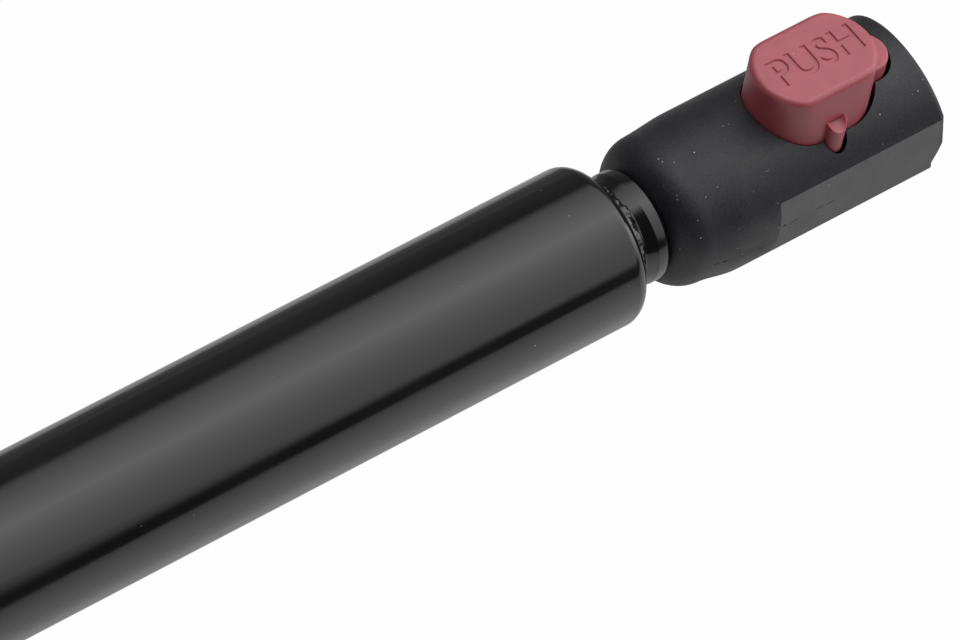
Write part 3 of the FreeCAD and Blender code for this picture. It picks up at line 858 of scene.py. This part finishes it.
    def tears(self):
        """Slivers left out along the parting line, where flash tore away.

        Each is its place along, across and up, and its length, drop and width, in millimetres.
        """
        slivers = [
            (-19.9, -8.73, 0.35, 0.6, 0.0, 0.22),
            (-16.95, -8.76, -0.42, 1.15, -0.2, 0.3),
            (-15.75, -8.78, -0.66, 0.9, -0.2, 0.18),
            (-10.8, -8.98, -1.5, 1.4, -0.5, 0.1),
            (-7.05, -8.15, -0.88, 0.5, 0.0, 0.26),
            (-5.8, -8.15, -0.93, 1.8, 0.0, 0.1),
            (-2.2, -8.15, -0.92, 1.0, 0.0, 0.13),
            (-0.7, -8.15, -0.98, 1.3, 0.0, 0.11),
            (14.6, -8.15, -1.0, 0.9, 0.0, 0.25),
        ]
        depth = 0.3
        forms = []
        for along, across, up, length, drop, width in slivers:
            form = bmesh.new()
            bmesh.ops.create_icosphere(form, subdivisions=2, radius=0.5 * MM)
            bmesh.ops.scale(form, verts=form.verts, vec=(length, depth, width))
            tip = Matrix.Rotation(-math.atan2(drop, length), 3, "Y")
            bmesh.ops.rotate(form, verts=form.verts, matrix=tip)
            bmesh.ops.translate(form, verts=form.verts, vec=(along * MM, across * MM, up * MM))
            forms.append(form)
        return gathered(forms)

    def execute(self, context):
        piece = self.outside(context.scene.strut_sizes)
        for opening in self.openings() + [self.tears()]:
            combine(piece, opening, "DIFFERENCE")
        smooth_out(piece, math.radians(24))
        for end in ENDS:
            socket = at_end(piece, end, end + "_socket")
            settle(socket, end + "_housing", "black_nylon")
            socket.data.materials.append(finish(glass_filled_nylon_flat_painted_sheen))
            # Faces on the flats take the smoother copy whose lighter grain tone is painted sheen.
            for face in socket.data.polygons:
                if abs(face.normal.y) > 0.999 and abs(abs(face.center.y) - FLAT_OUT) < NEAR:
                    face.material_index = 1
        bpy.data.objects.remove(piece)
        return {"FINISHED"}


class STRUT_OT_buttons(Operator):
    """Build the two push buttons, with their latch tab, dished ribs and engraved word"""

    bl_idname = "strut.buttons"
    bl_label = "Push buttons"

    def word(self, sizes):
        """The word as a solid with sloped walls that sinks into the button's top."""
        place = (0.55 * MM, 0.15 * MM, BUTTON_TOP)
        # Until it is stretched, the text is about one unit high, and these are in its units.
        wall, merge = 0.026, 0.0005
        text = bpy.data.curves.new("word", "FONT")
        text.body = "PUSH"
        text.space_character = 1.1
        text.offset = 0.004
        text.resolution_u = 8
        text.bevel_depth = wall
        text.bevel_resolution = 0
        source = bpy.data.objects.new("word", text)
        bpy.context.scene.collection.objects.link(source)
        mesh = bpy.data.meshes.new_from_object(source.evaluated_get(bpy.context.evaluated_depsgraph_get()))
        bpy.data.objects.remove(source)
        form = form_of(mesh, merge)
        bpy.data.meshes.remove(mesh)
        across, up = zip(*(point.co.xy for point in form.verts))
        left, right, low, high = min(across), max(across), min(up), max(up)
        bmesh.ops.translate(form, verts=form.verts, vec=(-(left + right) / 2, -(low + high) / 2, 0))
        stretch = (sizes.word_length / (right - left), sizes.letters / (high - low), sizes.engraving / wall)
        bmesh.ops.scale(form, verts=form.verts, vec=stretch)
        bmesh.ops.translate(form, verts=form.verts, vec=place)
        return form

    def dish(self, side):
        """A round bar across the top of a rib, tipped down and outward."""
        radius, half, tip, height = 1.5 * MM, 2 * MM, math.radians(14), 10.75 * MM
        form = column(oval(radius), -half, half)
        bmesh.ops.rotate(form, verts=form.verts, matrix=Matrix.Rotation(math.radians(90), 3, "X"))
        bmesh.ops.translate(form, verts=form.verts, vec=(0, side * half, 0))
        bmesh.ops.rotate(form, verts=form.verts, matrix=Matrix.Rotation(-side * tip, 3, "X"))
        bmesh.ops.translate(form, verts=form.verts, vec=(0, side * RIB_OUT, height))
        return form

    def cap(self, sizes, base):
        """The drafted cap, with its top edge rounded."""
        radius, lean, flat, draft = 5.45 * MM, 0.15 * MM, 5.86 * MM, 1.01 * MM

        def outline(height, inset):
            share = (height - base) / (BUTTON_TOP - base)
            return oval(radius - inset, CAP_HALF, CAP_CENTRE - lean * share, flat - draft * share - inset)

        return as_piece(stacked(rounded_top(outline, base, BUTTON_TOP, sizes.button_edge)), "button")

    def additions(self, base):
        """The latch tab and the two ribs."""
        tab, tab_top, tab_edge = 2.6 * MM, 10.3 * MM, 0.3 * MM
        rib, rib_low, rib_high = 1.15 * MM, 5.6 * MM, 9.8 * MM

        def outline(_, inset):
            return oval(tab - inset, half=2.65 * MM, centre=5.35 * MM)

        forms = [stacked(rounded_top(outline, base, tab_top, tab_edge))]
        for side in (-1, 1):
            form = column(oval(rib), rib_low, rib_high)
            bmesh.ops.translate(form, verts=form.verts, vec=(0, side * RIB_OUT, 0))
            forms.append(form)
        return gathered(forms)

    def hollow(self):
        """The room under the cap, round the boss that takes the cage's stem."""
        low, roof, boss, boss_low = 5 * MM, BUTTON_TOP - 1.8 * MM, 3 * MM, 6.2 * MM
        room = as_piece(column(oval(3.7 * MM, CAP_HALF, CAP_CENTRE), low, roof), "hollow")
        combine(room, column(oval(boss), boss_low, BUTTON_TOP), "DIFFERENCE")
        form = form_of(room.data)
        bpy.data.meshes.remove(room.data)
        return form

    def execute(self, context):
        sizes = context.scene.strut_sizes
        base, stem, stem_low, stem_high = 6.5 * MM, 1.83 * MM, 5 * MM, 11.03 * MM
        piece = self.cap(sizes, base)
        combine(piece, self.additions(base), "UNION")
        combine(piece, self.hollow(), "DIFFERENCE")
        combine(piece, column(oval(stem), stem_low, stem_high), "DIFFERENCE")
        combine(piece, gathered([self.word(sizes), self.dish(-1), self.dish(1)]), "DIFFERENCE")
        smooth_out(piece)
        for end in ENDS:
            settle(at_end(piece, end, end + "_push_button"), end + "_button", "red_acetal")
        bpy.data.objects.remove(piece)
        return {"FINISHED"}


class STRUT_OT_cages(Operator):
    """Dress the two ball cages and their jaws"""

    bl_idname = "strut.cages"
    bl_label = "Ball cages"

    def execute(self, context):
        for end in ENDS:
            for part in ["cage"] + [f"jaw_{count + 1}" for count in range(JAWS)]:
                node = f"{end}_{part}"
                piece = as_piece(form_of(frame["nodes"][node].data), node + "_moulded")
                settle(piece, node, "black_nylon", moulded_black_nylon)
        return {"FINISHED"}


class STRUT_OT_stage(Operator):
    """Set the table, the soft studio light and the camera"""

    bl_idname = "strut.stage"
    bl_label = "Stage"

    def table(self, drop):
        """A table below the strut that reaches further to the front than to the back."""
        front, back, half, middle = 560 * MM, 190 * MM, 900 * MM, -200 * MM
        form = bmesh.new()
        bmesh.ops.create_grid(form, x_segments=1, y_segments=1, size=1.0)
        bmesh.ops.scale(form, verts=form.verts, vec=(half, (front + back) / 2, 1))
        bmesh.ops.translate(form, verts=form.verts, vec=(middle, (back - front) / 2, -TUBE_RADIUS - drop))
        floor = as_piece(form, "table")
        floor.data.materials.append(finish(pale_table))
        floor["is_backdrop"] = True

    def light(self, scene):
        """A light tent over the strut, with dark gaps at the front and back, white to the camera."""
        world = bpy.data.worlds.new("light_tent")
        world.use_nodes = True
        scene.world = world
        tree = world.node_tree
        tree.nodes.clear()
        sky = add(tree, "TexCoord").outputs["Generated"]
        toward = add(tree, "SeparateXYZ", {"Vector": sky}).outputs
        front = add(tree, "Math", {"operation": "MULTIPLY", 0: toward["Y"], 1: -1.0})
        turn = add(tree, "Math", {"operation": "ARCTAN2", 0: front, 1: toward["Z"]})
        degrees = add(tree, "Math", {"operation": "DEGREES", 0: turn})
        tent = [
            (-180, 0.3),
            (-97, 0.12),
            (-92, 0.2),
            (-87, 0.12),
            (-54, 0.1),
            (-45, 1.0),
            (4, 2.9),
            (28, 2.0),
            (52, 1.45),
            (77, 1.15),
            (84, 0.1),
            (92, 0.1),
            (180, 0.3),
        ]
        # The tent hangs only on this side of the strut, and a lamp beyond the tube end fills its front.
        tent_side = (0.84, 0.48, 0.254)
        edge = add(tree, "VectorMath", {"operation": "DOT_PRODUCT", 0: sky, 1: tent_side})
        inside = add(tree, "MapRange", {"Value": edge, "From Min": -0.08, "From Max": 0.06})
        over = add(tree, "Math", {"operation": "MULTIPLY", 0: traced(tree, degrees, tent), 1: inside})
        beyond = add(tree, "MapRange", {"Value": toward["X"], "From Min": 0.8, "From Max": 0.92})
        forward = add(tree, "MapRange", {"Value": degrees, "From Min": 15, "From Max": 32})
        lamp = add(tree, "Math", {"operation": "MULTIPLY", 0: beyond, 1: forward})
        lamp_strength, least = 1.6, 0.08
        dim = add(tree, "Math", {"operation": "MULTIPLY_ADD", 0: lamp, 1: lamp_strength, 2: least})
        lit = add(tree, "Math", {"operation": "ADD", 0: over, 1: dim})
        # Rays that weren't mirrored find the light a little flatter.
        kept, fill = 0.92, 0.12
        plain = add(tree, "Math", {"operation": "MULTIPLY_ADD", 0: lit, 1: kept, 2: fill})
        seen, mirrored = rays(tree)
        level = add(tree, "Mix", {"data_type": "FLOAT", "Factor": mirrored, "A": plain, "B": lit})
        shown = add(tree, "Mix", {"data_type": "FLOAT", "Factor": seen, "A": level, "B": 1.0})
        glow = add(tree, "Background", {"Color": (1, 1, 1, 1), "Strength": shown})
        add(tree, "OutputWorld", {"Surface": glow})

    def camera(self, scene):
        """The photograph's view: down on the tube end from beside the tube, tipped a little."""
        toward_viewer = Vector((-0.454, -0.4226, 0.785)).normalized()
        roll, distance, lens = math.radians(12.7), 1238 * MM, 438.2
        aim = Vector((-39.48, 1.85, -6.78)) * MM
        level = Vector((0, 0, 1)).cross(toward_viewer).normalized()
        right = Matrix.Rotation(roll, 3, toward_viewer) @ level
        above = toward_viewer.cross(right)
        data = bpy.data.cameras.new("camera")
        data.lens = lens
        data.sensor_width = 36.0
        data.clip_start = 0.01
        camera = bpy.data.objects.new("camera", data)
        turn = Matrix((right, above, toward_viewer)).transposed().to_4x4()
        camera.matrix_world = Matrix.Translation(aim + toward_viewer * distance) @ turn
        scene.collection.objects.link(camera)
        scene.camera = camera

    def execute(self, context):
        scene = context.scene
        scene.view_settings.view_transform = "Standard"
        self.table(scene.strut_sizes.floor_drop)
        self.light(scene)
        self.camera(scene)
        return {"FINISHED"}


OPERATORS = (
    STRUT_OT_stage,
    STRUT_OT_tube,
    STRUT_OT_stud,
    STRUT_OT_bead,
    STRUT_OT_rod,
    STRUT_OT_inner,
    STRUT_OT_sockets,
    STRUT_OT_buttons,
    STRUT_OT_cages,
)


class STRUT_PT_sidebar(Panel):
    """Lists the strut's sizes, colours and pieces in the sidebar"""

    bl_idname = "STRUT_PT_sidebar"
    bl_label = "Hood gas strut"
    bl_space_type = "VIEW_3D"
    bl_region_type = "UI"
    bl_category = "Strut"

    def draw(self, context):
        for group in (context.scene.strut_sizes, context.scene.strut_colours):
            for name in group.__annotations__:
                self.layout.prop(group, name)
        for operator in OPERATORS:
            self.layout.operator(operator.bl_idname)


CLASSES = (StrutSizes, StrutColours) + OPERATORS + (STRUT_PT_sidebar,)


def register():
    for made in CLASSES:
        bpy.utils.register_class(made)
    bpy.types.Scene.strut_sizes = PointerProperty(type=StrutSizes)
    bpy.types.Scene.strut_colours = PointerProperty(type=StrutColours)


def unregister():
    del bpy.types.Scene.strut_colours
    del bpy.types.Scene.strut_sizes
    for made in reversed(CLASSES):
        bpy.utils.unregister_class(made)


def main():
    register()
    for operator in OPERATORS:
        group, name = operator.bl_idname.split(".")
        getattr(getattr(bpy.ops, group), name)()
    boxes = {"cad": CAD_BOX, "visual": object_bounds()}
    sizes = {kind: [list(corner) for corner in box] for kind, box in boxes.items()}


if __name__ == "__main__":
    main()
